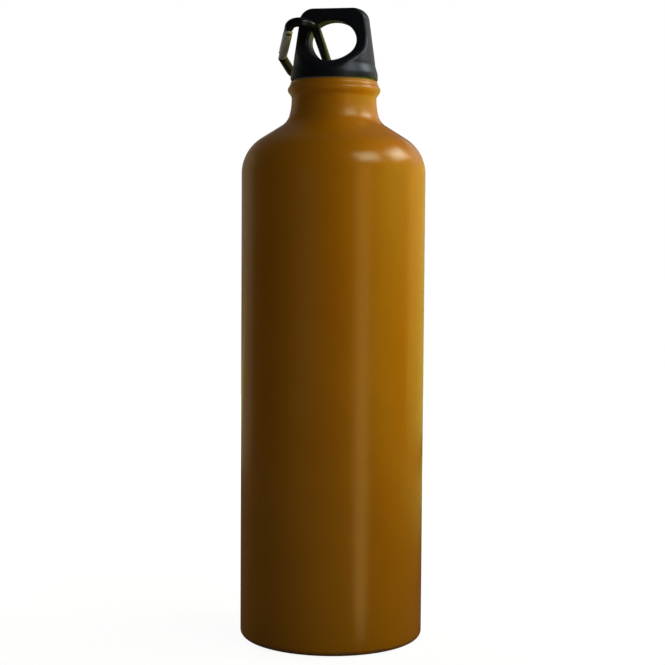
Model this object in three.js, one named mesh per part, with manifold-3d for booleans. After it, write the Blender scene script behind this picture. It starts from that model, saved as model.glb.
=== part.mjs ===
// One-litre aluminium water bottle with a screw cap that ends in a carrying loop, and a small carabiner on the loop.
// Millimetres, +Z up. The origin is the centre of the base, on the ground.
// The cap's loop lies along X, and the carabiner hangs on its pillar at -X.

import * as THREE from "three";
import { mergeVertices } from "three/addons/utils/BufferGeometryUtils.js";
import Module from "manifold-3d";

// Fits
const SEAT_GAP = 0.25; // between pieces that touch
const PIN_CLEARANCE = 0.2; // round a pin in its hole

// Bottle
const BODY_RADIUS = 40;
const BODY_HEIGHT = 203; // straight wall, up to the shoulder
const WALL = 0.9;
const BASE_CORNER_RADIUS = 2.7;
const BASE_RING_INNER_RADIUS = 31; // inside edge of the flat ring that it stands on
const BASE_DOME_RISE = 7;
const BASE_THICKNESS = 1.6;
const SHOULDER_RADIUS = 18.6;
const SHOULDER_SLOPE_DEG = 30; // of the cone between shoulder and neck
const NECK_ROOT_RADIUS = 18.9;
const NECK_FILLET_RADIUS = 5.2;
const NECK_RADIUS = 18.4; // at the waist below the bead
const NECK_TAPER_HEIGHT = 5.9;
const BEAD_RADIUS = 19.95;
const BEAD_HALF_HEIGHT = 3.1;
const BEAD_FOOT = 1.2; // straight neck below the bead
const LIP_RADIUS = 18.7;
const LIP_HEIGHT = 0.75; // above the bead
const LIP_ROUND = 0.7;
const LIP_THICKNESS = 1.1;
const MOUTH_RADIUS = 15.2; // free edge of the rolled lip

// Threaded ring in the neck
const INSERT_HEIGHT = 14;
const THREAD_CLEARANCE = 0.5; // between the plain plug and the plain bore, where the thread turns lie

// Cap
const CAP_LIFT = 0.4; // rim of the closed cap above the lip
const CAP_HEIGHT = 30.6;
const CAP_RIM_RADIUS = 18.95;
const CAP_RIM_HEIGHT = 1.7;
const CAP_FLARE_HEIGHT = 7.4;
const CAP_FLARE_RADIUS = 17.75; // where the flared foot meets the taper
const CAP_TOP_RADIUS = 10.8;
const CAP_CORNER_RADIUS = 4.3;
const LOOP_THICKNESS = 11;
const SCOOP_RADIUS = 10;
const SCOOP_AXIS_HEIGHT = 20; // above the cap's rim
const SCOOP_SLOPE_DEG = 40; // of the scoop's floor, down to the front and the back
const EYE_WIDTH = 21.2;
const EYE_HEIGHT = 18;
const EYE_CENTRE_HEIGHT = 16.4; // above the cap's rim
const EYE_ROUND = 1.2; // of the eye's edges at the loop's faces
const PLUG_RADIUS = 13.9;
const PLUG_LENGTH = 14;
const PLUG_BORE_RADIUS = 11.2;
const PLUG_BORE_DEPTH = 17.4;
const SEAL_INNER_RADIUS = 14.3;
const SEAL_OUTER_RADIUS = 17.7;
const SEAL_GROOVE_DEPTH = 1.3;

// Carabiner: it is drawn flat, its spine on its own Y axis and its narrow end towards -Y
const SPINE_OFFSET = 6.7; // spine from the loop's centre, towards -X
const SPINE_RISE = 1.9; // spine above the centre of the eye, half way through the loop
const CARABINER_TILT_DEG = 24.2;
const CARABINER_ROLL_DEG = 5.7;
const ROD_DIAMETER = 4;
const NARROW_RADIUS = 5.6;
const NARROW_CENTRE = 9.9; // of the narrow bend, in front of the loop's middle
const WIDE_REACH = 28.9; // of the wide end, behind the loop's middle
const WIDE_CORNER_RADIUS = 8;
const NOSE_CORNER_RADIUS = 6;
const NOSE_CORNER_OFFSET = 16.9; // wide end's corner on the gate side, from the spine
const TENON_THICKNESS = 1.3;
const TENON_WIDTH = 3.2;
const TENON_END = 1.5; // flat end of the hinge tenon, past the rivet
const HINGE_REACH = 3.5; // rivet from the end of the narrow bend
const GATE_ANGLE_DEG = 18.7; // of the shut gate to the spine
const GATE_DIAMETER = 4.1;
const GATE_LENGTH = 20.2; // from the rivet to the free end
const HINGE_SLOT_DEPTH = 2.7; // past the rivet
const LATCH_SLOT_DEPTH = 4.3;
const LATCH_PIN_INSET = 1.6; // from the gate's free end
const LATCH_HOOK_LENGTH = 1.2;
const NOSE_GAP = 1.15; // between the gate's free end and the rod's end
const HINGE_GAP = 0.45; // between the gate's rounded end and the rod's other end
const RIVET_DIAMETER = 1.4;
const LATCH_PIN_DIAMETER = 1.1;
const GATE_BORE_DIAMETER = 2.2;
const GATE_BORE_LENGTH = 10;
const PLUNGER_DIAMETER = 1.6;
const PLUNGER_LENGTH = 2.6;
const SPRING_DIAMETER = 1.7; // over the wire
const SPRING_WIRE = 0.3;
const SPRING_CURLS = 7;

const wasm = await Module();
wasm.setup();

const degrees = THREE.MathUtils.degToRad;

// A closed three.js geometry as a solid that can be joined and cut.
function solid(geometry) {
  const bare = geometry.clone();
  bare.deleteAttribute("normal");
  bare.deleteAttribute("uv");
  const merged = mergeVertices(bare, 1e-4);
  return new wasm.Manifold(
    new wasm.Mesh({
      numProp: 3,
      vertProperties: new Float32Array(merged.attributes.position.array),
      triVerts: new Uint32Array(merged.index.array),
    }),
  );
}

// A solid back as a three.js geometry.
function surface(body) {
  const mesh = body.getMesh();
  const geometry = new THREE.BufferGeometry();
  geometry.setAttribute("position", new THREE.BufferAttribute(mesh.vertProperties, 3));
  geometry.setIndex(new THREE.BufferAttribute(mesh.triVerts, 1));
  geometry.computeVertexNormals();
  return geometry;
}

// Points [r, z] turned about Z. The profile runs upwards on the outside and downwards on the inside.
function turned(profile, segments) {
  const points = profile.map(([r, z]) => new THREE.Vector2(r, z));
  const geometry = new THREE.LatheGeometry(points, segments);
  geometry.rotateX(Math.PI / 2);
  return geometry;
}

// Points on a circle's arc in the (r, z) plane, both ends included.
function arc(r, z, radius, from, to, steps) {
  const points = [];
  for (let i = 0; i <= steps; i += 1) {
    const angle = degrees(from + ((to - from) * i) / steps);
    points.push([r + radius * Math.cos(angle), z + radius * Math.sin(angle)]);
  }
  return points;
}

// A smooth half-wave step from one [r, z] to another, without its first point.
function ease([r0, z0], [r1, z1], steps) {
  const points = [];
  for (let i = 1; i <= steps; i += 1) {
    const t = i / steps;
    const rise = (1 - Math.cos(Math.PI * t)) / 2;
    points.push([r0 + (r1 - r0) * rise, z0 + (z1 - z0) * t]);
  }
  return points;
}

// A cylinder with its axis along Z, between two heights.
function post(x, y, radius, low, high, sides) {
  const geometry = new THREE.CylinderGeometry(radius, radius, high - low, sides);
  geometry.rotateX(Math.PI / 2);
  geometry.translate(x, y, (low + high) / 2);
  return geometry;
}

// A block between two corners.
function block([x0, y0, z0], [x1, y1, z1]) {
  const geometry = new THREE.BoxGeometry(x1 - x0, y1 - y0, z1 - z0);
  geometry.translate((x0 + x1) / 2, (y0 + y1) / 2, (z0 + z1) / 2);
  return geometry;
}

// A regular polygon as a shape to sweep.
function disc(radius, sides) {
  const shape = new THREE.Shape();
  for (let i = 0; i < sides; i += 1) {
    const angle = (2 * Math.PI * i) / sides;
    const method = i === 0 ? "moveTo" : "lineTo";
    shape[method](radius * Math.cos(angle), radius * Math.sin(angle));
  }
  shape.closePath();
  return shape;
}

// A path through many points, run at even speed.
class Trail extends THREE.Curve {
  constructor(points) {
    super();
    this.points = points;
    this.lengths = [0];
    for (let i = 1; i < points.length; i += 1) {
      this.lengths.push(this.lengths[i - 1] + points[i].distanceTo(points[i - 1]));
    }
  }

  getPoint(t, target = new THREE.Vector3()) {
    const wanted = t * this.lengths[this.lengths.length - 1];
    let i = 1;
    while (i < this.points.length - 1 && this.lengths[i] < wanted) {
      i += 1;
    }
    const part = (wanted - this.lengths[i - 1]) / (this.lengths[i] - this.lengths[i - 1]);
    return target.lerpVectors(this.points[i - 1], this.points[i], part);
  }
}

function piece(name, geometry, colour, metalness, roughness) {
  const material = new THREE.MeshStandardMaterial({ color: colour, metalness, roughness });
  const mesh = new THREE.Mesh(geometry, material);
  mesh.name = name;
  return mesh;
}

const bottle = new THREE.Group();

// Bottle shell: foot, wall, shoulder, cone, neck, bead and rolled lip outside, then the same line inside.
const slope = degrees(SHOULDER_SLOPE_DEG);
const shoulderTurn = 90 - SHOULDER_SLOPE_DEG;
const shoulderAxis = BODY_RADIUS - SHOULDER_RADIUS;
const coneRadius = shoulderAxis + SHOULDER_RADIUS * Math.cos(degrees(shoulderTurn));
const coneZ = BODY_HEIGHT + SHOULDER_RADIUS * Math.sin(degrees(shoulderTurn));
const neckCornerZ = coneZ + (coneRadius - NECK_ROOT_RADIUS) * Math.tan(slope);
const neckRootZ = neckCornerZ + NECK_FILLET_RADIUS * Math.tan((Math.PI / 2 - slope) / 2);
const neckFilletAxis = NECK_ROOT_RADIUS + NECK_FILLET_RADIUS;
const waistZ = neckRootZ + NECK_TAPER_HEIGHT;
const beadFootZ = waistZ + BEAD_FOOT;
const beadZ = beadFootZ + BEAD_HALF_HEIGHT;
const beadTopZ = beadZ + BEAD_HALF_HEIGHT;
const lipTopZ = beadTopZ + LIP_HEIGHT;
const lipUnderZ = lipTopZ - LIP_THICKNESS;
const neckBoreRadius = NECK_RADIUS - WALL;
const insideCorner = BASE_CORNER_RADIUS - WALL;
const domeSteps = 6;

// A shallow bowl from the axis out to a radius, risen in the middle.
function dome(radius, rise, low) {
  const points = [];
  for (let i = 0; i < domeSteps; i += 1) {
    const r = (radius * i) / domeSteps;
    points.push([r, low + rise * Math.cos((Math.PI / 2) * (i / domeSteps)) ** 2]);
  }
  return points;
}

const shellProfile = [
  ...dome(BASE_RING_INNER_RADIUS, BASE_DOME_RISE, 0),
  [BASE_RING_INNER_RADIUS, 0],
  ...arc(BODY_RADIUS - BASE_CORNER_RADIUS, BASE_CORNER_RADIUS, BASE_CORNER_RADIUS, -90, 0, 4),
  ...arc(shoulderAxis, BODY_HEIGHT, SHOULDER_RADIUS, 0, shoulderTurn, 8),
  ...arc(neckFilletAxis, neckRootZ, NECK_FILLET_RADIUS, 180 + shoulderTurn, 180, 5),
  [NECK_RADIUS, waistZ],
  [NECK_RADIUS, beadFootZ],
  ...ease([NECK_RADIUS, beadFootZ], [BEAD_RADIUS, beadZ], 4),
  ...ease([BEAD_RADIUS, beadZ], [LIP_RADIUS, beadTopZ], 4),
  ...arc(LIP_RADIUS - LIP_ROUND, lipTopZ - LIP_ROUND, LIP_ROUND, 0, 90, 3),
  ...arc(MOUTH_RADIUS + LIP_THICKNESS / 2, lipTopZ - LIP_THICKNESS / 2, LIP_THICKNESS / 2, 90, 270, 4),
  [neckBoreRadius, lipUnderZ],
  [neckBoreRadius, waistZ],
  ...arc(neckFilletAxis, neckRootZ, NECK_FILLET_RADIUS + WALL, 180, 180 + shoulderTurn, 4),
  ...arc(shoulderAxis, BODY_HEIGHT, SHOULDER_RADIUS - WALL, shoulderTurn, 0, 6),
  ...arc(BODY_RADIUS - BASE_CORNER_RADIUS, BASE_THICKNESS + insideCorner, insideCorner, 0, -90, 3),
  [BASE_RING_INNER_RADIUS, BASE_THICKNESS],
  ...dome(BASE_RING_INNER_RADIUS, BASE_DOME_RISE, BASE_THICKNESS).reverse(),
];
bottle.add(piece("bottle_shell", turned(shellProfile, 56), 0xc08a1e, 0.4, 0.35));

// Threaded ring, held in the neck under the lip. Its bore is left plain here.
const insertTopZ = lipUnderZ - SEAT_GAP;
const insertRadius = neckBoreRadius - SEAT_GAP;
const insertBoreRadius = PLUG_RADIUS + THREAD_CLEARANCE;
const insertProfile = [
  [insertBoreRadius, insertTopZ - INSERT_HEIGHT],
  [insertRadius, insertTopZ - INSERT_HEIGHT],
  [insertRadius, insertTopZ],
  [insertBoreRadius, insertTopZ],
  [insertBoreRadius, insertTopZ - INSERT_HEIGHT],
];
bottle.add(piece("neck_thread_insert", turned(insertProfile, 48), 0x1b1b1d, 0, 0.5));

// Cap: a tapering drum with its plug, scooped at front and back, and the eye cut through the loop that is left.
const capZ = lipTopZ + CAP_LIFT;
const capTopZ = capZ + CAP_HEIGHT;
const flareZ = capZ + CAP_FLARE_HEIGHT;
const cornerZ = capTopZ - CAP_CORNER_RADIUS;
const taperRun = CAP_FLARE_RADIUS - CAP_TOP_RADIUS - CAP_CORNER_RADIUS;
const taperDeg = THREE.MathUtils.radToDeg(Math.atan2(taperRun, cornerZ - flareZ));
const capProfile = [
  [0, capZ - PLUG_LENGTH + PLUG_BORE_DEPTH],
  [PLUG_BORE_RADIUS, capZ - PLUG_LENGTH + PLUG_BORE_DEPTH],
  [PLUG_BORE_RADIUS, capZ - PLUG_LENGTH],
  [PLUG_RADIUS, capZ - PLUG_LENGTH],
  [PLUG_RADIUS, capZ + SEAL_GROOVE_DEPTH],
  [SEAL_OUTER_RADIUS + SEAT_GAP, capZ + SEAL_GROOVE_DEPTH],
  [SEAL_OUTER_RADIUS + SEAT_GAP, capZ],
  [CAP_RIM_RADIUS, capZ],
  [CAP_RIM_RADIUS, capZ + CAP_RIM_HEIGHT],
  ...ease([CAP_RIM_RADIUS, capZ + CAP_RIM_HEIGHT], [CAP_FLARE_RADIUS, flareZ], 4),
  ...arc(CAP_TOP_RADIUS, cornerZ, CAP_CORNER_RADIUS, taperDeg, 90, 5),
  [0, capTopZ],
];
const drum = solid(turned(capProfile, 48));

// One scoop: an upright face, a round corner and a floor that falls away, run along X.
const loopFace = LOOP_THICKNESS / 2;
const scoopAxisZ = capZ + SCOOP_AXIS_HEIGHT;
const scoopTurn = 90 - SCOOP_SLOPE_DEG;
const scoopArc = arc(loopFace + SCOOP_RADIUS, scoopAxisZ, SCOOP_RADIUS, 180, 180 + scoopTurn, 8);
const [floorY, floorZ] = scoopArc[scoopArc.length - 1];
const reach = 2 * CAP_RIM_RADIUS;
const scoopShape = new THREE.Shape();
scoopShape.moveTo(loopFace, capTopZ + CAP_HEIGHT);
scoopArc.forEach(([y, z]) => scoopShape.lineTo(y, z));
scoopShape.lineTo(reach, floorZ - (reach - floorY) * Math.tan(degrees(SCOOP_SLOPE_DEG)));
scoopShape.lineTo(reach, capTopZ + CAP_HEIGHT);
scoopShape.closePath();
const scoopGeometry = new THREE.ExtrudeGeometry(scoopShape, { depth: 2 * reach, steps: 1, bevelEnabled: false });
scoopGeometry.translate(0, 0, -reach);
scoopGeometry.applyMatrix4(
  new THREE.Matrix4().makeBasis(new THREE.Vector3(0, 1, 0), new THREE.Vector3(0, 0, 1), new THREE.Vector3(1, 0, 0)),
);
const scoopBack = solid(scoopGeometry);
const scoopFront = solid(scoopGeometry.clone().rotateZ(Math.PI));

const eyeZ = capZ + EYE_CENTRE_HEIGHT;
const eyeFlare = (4 * EYE_ROUND) / (EYE_WIDTH + EYE_HEIGHT);
const eyeRim = arc(0, 0, 1, 180, 90, 3).map(([across, along]) => [
  1 + eyeFlare * (1 + across),
  loopFace - EYE_ROUND * (1 - along),
]);
const eyeSide = [...eyeRim, [1 + eyeFlare, reach], [0, reach]];
const eyeProfile = [...eyeSide.map(([r, z]) => [r, -z]).reverse(), ...eyeSide];
const eyeGeometry = turned(eyeProfile, 40);
eyeGeometry.rotateX(Math.PI / 2);
eyeGeometry.scale(EYE_WIDTH / 2, 1, EYE_HEIGHT / 2);
eyeGeometry.translate(0, 0, eyeZ);
const capSolid = drum.subtract(scoopFront).subtract(scoopBack).subtract(solid(eyeGeometry));
bottle.add(piece("cap_body", surface(capSolid), 0x17181a, 0, 0.4));

// Seal: a flat silicone ring in the groove under the cap.
const sealLow = lipTopZ + SEAT_GAP / 2;
const sealHigh = capZ + SEAL_GROOVE_DEPTH - SEAT_GAP;
const sealProfile = [
  [SEAL_INNER_RADIUS, sealLow],
  [SEAL_OUTER_RADIUS, sealLow],
  [SEAL_OUTER_RADIUS, sealHigh],
  [SEAL_INNER_RADIUS, sealHigh],
  [SEAL_INNER_RADIUS, sealLow],
];
bottle.add(piece("cap_seal", turned(sealProfile, 48), 0xb9bcbe, 0, 0.6));

// Carabiner frame: from the hinge round the narrow bend, along the spine and round the wide end to the nose.
const carabiner = new THREE.Group();
carabiner.position.set(-SPINE_OFFSET, 0, eyeZ + SPINE_RISE);
carabiner.rotation.set(-degrees(CARABINER_TILT_DEG), -degrees(CARABINER_ROLL_DEG), 0);
bottle.add(carabiner);

const gateTurn = degrees(GATE_ANGLE_DEG);
const gateAlong = new THREE.Vector3(-Math.sin(gateTurn), Math.cos(gateTurn), 0);
const bendEnd = new THREE.Vector3(
  -NARROW_RADIUS * (1 + Math.cos(gateTurn)),
  -NARROW_CENTRE - NARROW_RADIUS * Math.sin(gateTurn),
  0,
);
const hinge = bendEnd.clone().addScaledVector(gateAlong, HINGE_REACH);
const rodStart = -GATE_DIAMETER / 2 - HINGE_GAP; // the rod's end along the gate's line, from the rivet
const noseEnd = hinge.clone().addScaledVector(gateAlong, GATE_LENGTH + NOSE_GAP);
const noseCorner = new THREE.Vector3(-NOSE_CORNER_OFFSET, WIDE_REACH, 0);
const wideCorner = new THREE.Vector3(0, WIDE_REACH, 0);
const spineStart = new THREE.Vector3(0, -NARROW_CENTRE, 0);

// A round bend of a given radius at a corner of the path.
function bend(before, corner, after, radius, steps) {
  const back = before.clone().sub(corner).normalize();
  const on = after.clone().sub(corner).normalize();
  const half = back.angleTo(on) / 2;
  const centre = back.clone().add(on).normalize().multiplyScalar(radius / Math.sin(half)).add(corner);
  const first = corner.clone().addScaledVector(back, radius / Math.tan(half)).sub(centre);
  const last = corner.clone().addScaledVector(on, radius / Math.tan(half)).sub(centre);
  const turn = Math.atan2(first.x * last.y - first.y * last.x, first.dot(last));
  const points = [];
  for (let i = 0; i <= steps; i += 1) {
    const angle = (turn * i) / steps;
    points.push(first.clone().applyAxisAngle(new THREE.Vector3(0, 0, 1), angle).add(centre));
  }
  return points;
}

const narrowBend = arc(-NARROW_RADIUS, -NARROW_CENTRE, NARROW_RADIUS, 180 + GATE_ANGLE_DEG, 360, 40).map(
  ([x, y]) => new THREE.Vector3(x, y, 0),
);
const trail = new Trail([
  hinge.clone().addScaledVector(gateAlong, rodStart),
  ...narrowBend,
  ...bend(spineStart, wideCorner, noseCorner, WIDE_CORNER_RADIUS, 30),
  ...bend(wideCorner, noseCorner, noseEnd, NOSE_CORNER_RADIUS, 30),
  noseEnd,
]);
const rodGeometry = new THREE.ExtrudeGeometry(disc(ROD_DIAMETER / 2, 12), {
  steps: 76,
  extrudePath: trail,
  bevelEnabled: false,
});

const tenonHalf = TENON_THICKNESS / 2;
const rivetHoleRadius = RIVET_DIAMETER / 2 + PIN_CLEARANCE;

// Places a geometry drawn along +Y from the hinge onto the line of the shut gate.
function onGate(geometry) {
  geometry.rotateZ(gateTurn);
  geometry.translate(hinge.x, hinge.y, 0);
  return geometry;
}

const hingeTenon = onGate(
  block(
    [-TENON_WIDTH / 2, rodStart - ROD_DIAMETER / 2, -tenonHalf],
    [TENON_WIDTH / 2, TENON_END, tenonHalf],
  ),
);
const latchAlong = GATE_LENGTH - LATCH_PIN_INSET;
const notchHalf = LATCH_PIN_DIAMETER / 2 + 2 * PIN_CLEARANCE;
const noseTenon = onGate(
  block(
    [-TENON_WIDTH / 2, latchAlong - notchHalf - LATCH_HOOK_LENGTH, -tenonHalf],
    [TENON_WIDTH / 2, GATE_LENGTH + NOSE_GAP + ROD_DIAMETER / 2, tenonHalf],
  ),
);
const latchNotch = onGate(
  block(
    [-notchHalf, latchAlong - notchHalf, -ROD_DIAMETER],
    [ROD_DIAMETER, latchAlong + notchHalf, ROD_DIAMETER],
  ),
);
const frameSolid = solid(rodGeometry)
  .add(solid(hingeTenon))
  .add(solid(noseTenon))
  .subtract(solid(post(hinge.x, hinge.y, rivetHoleRadius, -ROD_DIAMETER, ROD_DIAMETER, 16)))
  .subtract(solid(latchNotch));
carabiner.add(piece("carabiner_frame", surface(frameSolid), 0x141416, 0.6, 0.35));

// Gate: a rod with a slot for each tenon, a rounded hinge end and a bore for its spring.
const gateRadius = GATE_DIAMETER / 2;
const slotHalf = tenonHalf + SEAT_GAP;
const gateRod = new THREE.CylinderGeometry(gateRadius, gateRadius, GATE_LENGTH + gateRadius, 20);
gateRod.translate(0, (GATE_LENGTH - gateRadius) / 2, 0);
const knuckle = solid(post(0, 0, gateRadius, -ROD_DIAMETER, ROD_DIAMETER, 20)).add(
  solid(block([-ROD_DIAMETER, 0, -ROD_DIAMETER], [ROD_DIAMETER, 2 * GATE_LENGTH, ROD_DIAMETER])),
);
const hingeSlot = block([-ROD_DIAMETER, -ROD_DIAMETER, -slotHalf], [ROD_DIAMETER, HINGE_SLOT_DEPTH, slotHalf]);
const latchSlot = block(
  [-ROD_DIAMETER, GATE_LENGTH - LATCH_SLOT_DEPTH, -slotHalf],
  [ROD_DIAMETER, GATE_LENGTH + ROD_DIAMETER, slotHalf],
);
const bore = new THREE.CylinderGeometry(GATE_BORE_DIAMETER / 2, GATE_BORE_DIAMETER / 2, GATE_BORE_LENGTH, 16);
bore.translate(0, HINGE_SLOT_DEPTH + GATE_BORE_LENGTH / 2 - SEAT_GAP, 0);
const latchHoleRadius = LATCH_PIN_DIAMETER / 2 + PIN_CLEARANCE;
const gateSolid = solid(gateRod)
  .intersect(knuckle)
  .subtract(solid(hingeSlot))
  .subtract(solid(latchSlot))
  .subtract(solid(bore))
  .subtract(solid(post(0, 0, rivetHoleRadius, -ROD_DIAMETER, ROD_DIAMETER, 16)))
  .subtract(solid(post(0, latchAlong, latchHoleRadius, -ROD_DIAMETER, ROD_DIAMETER, 16)));
carabiner.add(piece("carabiner_gate", onGate(surface(gateSolid)), 0x8d9196, 0.9, 0.35));

const rivetHalf = gateRadius + SEAT_GAP / 2;
const rivet = post(0, 0, RIVET_DIAMETER / 2, -rivetHalf, rivetHalf, 16);
carabiner.add(piece("gate_hinge_rivet", onGate(rivet), 0x7a5a3a, 0.9, 0.35));
const latchPin = post(0, latchAlong, LATCH_PIN_DIAMETER / 2, -gateRadius, gateRadius, 16);
carabiner.add(piece("gate_latch_pin", onGate(latchPin), 0x9a9da0, 0.9, 0.3));

// Plunger and spring in the gate's bore. The spring pushes the plunger onto the flat end of the hinge tenon.
const plungerLow = TENON_END + SEAT_GAP;
const plungerHigh = plungerLow + PLUNGER_LENGTH;
const plunger = new THREE.CylinderGeometry(PLUNGER_DIAMETER / 2, PLUNGER_DIAMETER / 2, PLUNGER_LENGTH, 14);
plunger.translate(0, (plungerLow + plungerHigh) / 2, 0);
carabiner.add(piece("gate_plunger", onGate(plunger), 0x8b8e92, 0.9, 0.3));

// The spring's centre line: a circle that moves along the bore at an even pace.
const coilRadius = (SPRING_DIAMETER - SPRING_WIRE) / 2;
const springLow = plungerHigh + SEAT_GAP + SPRING_WIRE / 2;
const springHigh = HINGE_SLOT_DEPTH + GATE_BORE_LENGTH - 2 * SEAT_GAP - SPRING_WIRE / 2;
const stepsPerCurl = 8;
const coilPoints = [];
for (let i = 0; i <= SPRING_CURLS * stepsPerCurl; i += 1) {
  const angle = (2 * Math.PI * i) / stepsPerCurl;
  const along = springLow + ((springHigh - springLow) * i) / (SPRING_CURLS * stepsPerCurl);
  coilPoints.push(new THREE.Vector3(coilRadius * Math.cos(angle), along, coilRadius * Math.sin(angle)));
}
const springGeometry = new THREE.ExtrudeGeometry(disc(SPRING_WIRE / 2, 5), {
  steps: SPRING_CURLS * stepsPerCurl,
  extrudePath: new Trail(coilPoints),
  bevelEnabled: false,
});
const springGap = (springHigh - springLow) / SPRING_CURLS - SPRING_WIRE;
console.log("spring: least gap to itself " + springGap.toFixed(2) + " mm");
carabiner.add(piece("gate_spring", onGate(springGeometry), 0x9a9da0, 0.9, 0.3));

export default bottle;
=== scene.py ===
"""Looks of a painted aluminium water bottle with a loop cap and a small carabiner.

Shape formulas are in millimetres and meshes in metres. +Z is up, and the camera stands towards -Y.
"""

import bpy
import numpy as np
from mathutils import Matrix


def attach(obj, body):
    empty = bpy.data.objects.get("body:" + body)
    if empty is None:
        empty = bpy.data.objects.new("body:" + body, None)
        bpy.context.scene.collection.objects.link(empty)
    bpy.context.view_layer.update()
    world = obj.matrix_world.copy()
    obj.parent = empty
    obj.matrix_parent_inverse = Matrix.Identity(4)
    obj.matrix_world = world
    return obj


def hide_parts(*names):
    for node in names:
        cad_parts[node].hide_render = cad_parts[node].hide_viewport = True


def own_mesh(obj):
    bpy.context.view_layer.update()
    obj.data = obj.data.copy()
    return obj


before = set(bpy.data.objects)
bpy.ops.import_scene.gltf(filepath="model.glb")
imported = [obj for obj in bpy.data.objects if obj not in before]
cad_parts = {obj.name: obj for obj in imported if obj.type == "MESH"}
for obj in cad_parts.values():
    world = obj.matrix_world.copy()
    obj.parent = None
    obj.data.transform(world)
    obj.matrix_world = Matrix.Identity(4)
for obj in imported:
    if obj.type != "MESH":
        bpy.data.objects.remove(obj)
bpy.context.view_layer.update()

# Bottle shell. One drawn aluminium can, necked in at the top, with a rolled bead and a rolled lip. It is
# powder coated outside in satin ochre and lacquered inside, and it stands on the flat ring of its domed base.

MM = 0.001
BODY_RADIUS = 40
BODY_HEIGHT = 203
WALL = 0.9
WALL_SPAN = (6, BODY_HEIGHT - 3)
FOOT_RADIUS = 2.7
RING_RADIUS = 31
RING_INSET = 1
DOME_RISE = 7
BASE_THICKNESS = 1.6
SHOULDER_RADIUS = 18.0
SHOULDER_TURN = 58
NECK_FILLET = 8.05
FILLET_CENTRE = (27.07, 230.55)
FLARE_RADIUS = 27.28
FLARE_TURN = 14
NECK_RADIUS = 18.45
WAIST_Z = 235.2
WAIST_STEP = 0.2
BEAD_RADIUS = 20.15
BEAD_FOOT_Z = 235.6
BEAD_Z = 239.12
BEAD_TOP_Z = 242.22
LIP_RADIUS = 18.9
LIP_ROUND = 0.7
LIP_TOP_Z = 242.97
LIP_THICKNESS = 1.1
LIP_FILLET = 0.4
MOUTH_RADIUS = 15.2
SHELL_COLUMNS = 192

OCHRE = (0.5, 0.182, 0.001, 1)
OCHRE_DEEP = (0.46, 0.158, 0.0005, 1)
PAINT_SHEEN = (0.92, 1, 0.58, 1)
RUBBED_METAL = (0.3, 0.26, 0.2, 1)
RUBBED_EDGE = (0.0008, 0.0032)
MATT_NECK = (0.222, 0.229)
LACQUER = (0.5, 0.4, 0.24, 1)
LACQUER_DEEP = (0.42, 0.33, 0.19, 1)


def arc(r, z, radius, start, end, count):
    """Points on a circle of (r, z): the centre plus the radius times the cosine and sine of even angles."""
    angle = np.radians(np.linspace(start, end, count))
    return np.stack([r + radius * np.cos(angle), z + radius * np.sin(angle)], axis=-1)


def eased(first, last, count):
    """Points from first to last: z goes evenly and r by half a cosine wave, upright at both ends."""
    share = np.linspace(0, 1, count)
    rise = (1 - np.cos(np.pi * share)) / 2
    r = first[0] + (last[0] - first[0]) * rise
    z = first[1] + (last[1] - first[1]) * share
    return np.stack([r, z], axis=-1)


def straight(first, last, count):
    """Evenly spaced points from first to last."""
    share = np.linspace(0, 1, count)[:, None]
    return np.array(first) * (1 - share) + np.array(last) * share


def bowl(radius, rise, low, count):
    """A shallow dome: its height is the rise times the squared cosine of a quarter turn over the radius."""
    share = np.linspace(0.01, 1, count)
    return np.stack([radius * share, low + rise * np.cos(np.pi / 2 * share) ** 2], axis=-1)


def turned(profile, columns):
    """A profile of (r, z) carried round Z: x is r times the cosine of the angle and y is r times its sine."""
    angle = np.linspace(0, 2 * np.pi, columns, endpoint=False)
    r, z = profile[:, 0, None], profile[:, 1, None]
    return np.stack([r * np.cos(angle), r * np.sin(angle), z + 0 * angle], axis=-1)


def piece(name, points, faces):
    """A smooth mesh object from points in millimetres and faces that point outwards."""
    mesh = bpy.data.meshes.new(name)
    mesh.from_pydata((np.asarray(points) * MM).tolist(), [], faces)
    mesh.polygons.foreach_set("use_smooth", np.ones(len(mesh.polygons), bool))
    mesh.update()
    made = bpy.data.objects.new(name, mesh)
    bpy.context.scene.collection.objects.link(made)
    return made


def skin(name, grid, ends):
    """A mesh over a grid of points whose columns join up into rings. With ends "joined" the last row meets
    the first, and with ends "capped" each end is closed by a fan round a point in its middle."""
    rows, columns = grid.shape[:2]
    points = grid.reshape(-1, 3)
    index = np.arange(rows * columns).reshape(rows, columns)
    if ends == "joined":
        index = np.vstack([index, index[:1]])
    after = np.roll(index, -1, axis=1)
    faces = np.stack([index[:-1], after[:-1], after[1:], index[1:]], axis=-1).reshape(-1, 4).tolist()
    if ends == "capped":
        count = len(points)
        points = np.vstack([points, grid[0].mean(0), grid[-1].mean(0)])
        faces += np.stack([after[0], index[0], np.full(columns, count)], axis=-1).tolist()
        faces += np.stack([index[-1], after[-1], np.full(columns, count + 1)], axis=-1).tolist()
    return piece(name, points, faces)


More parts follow.
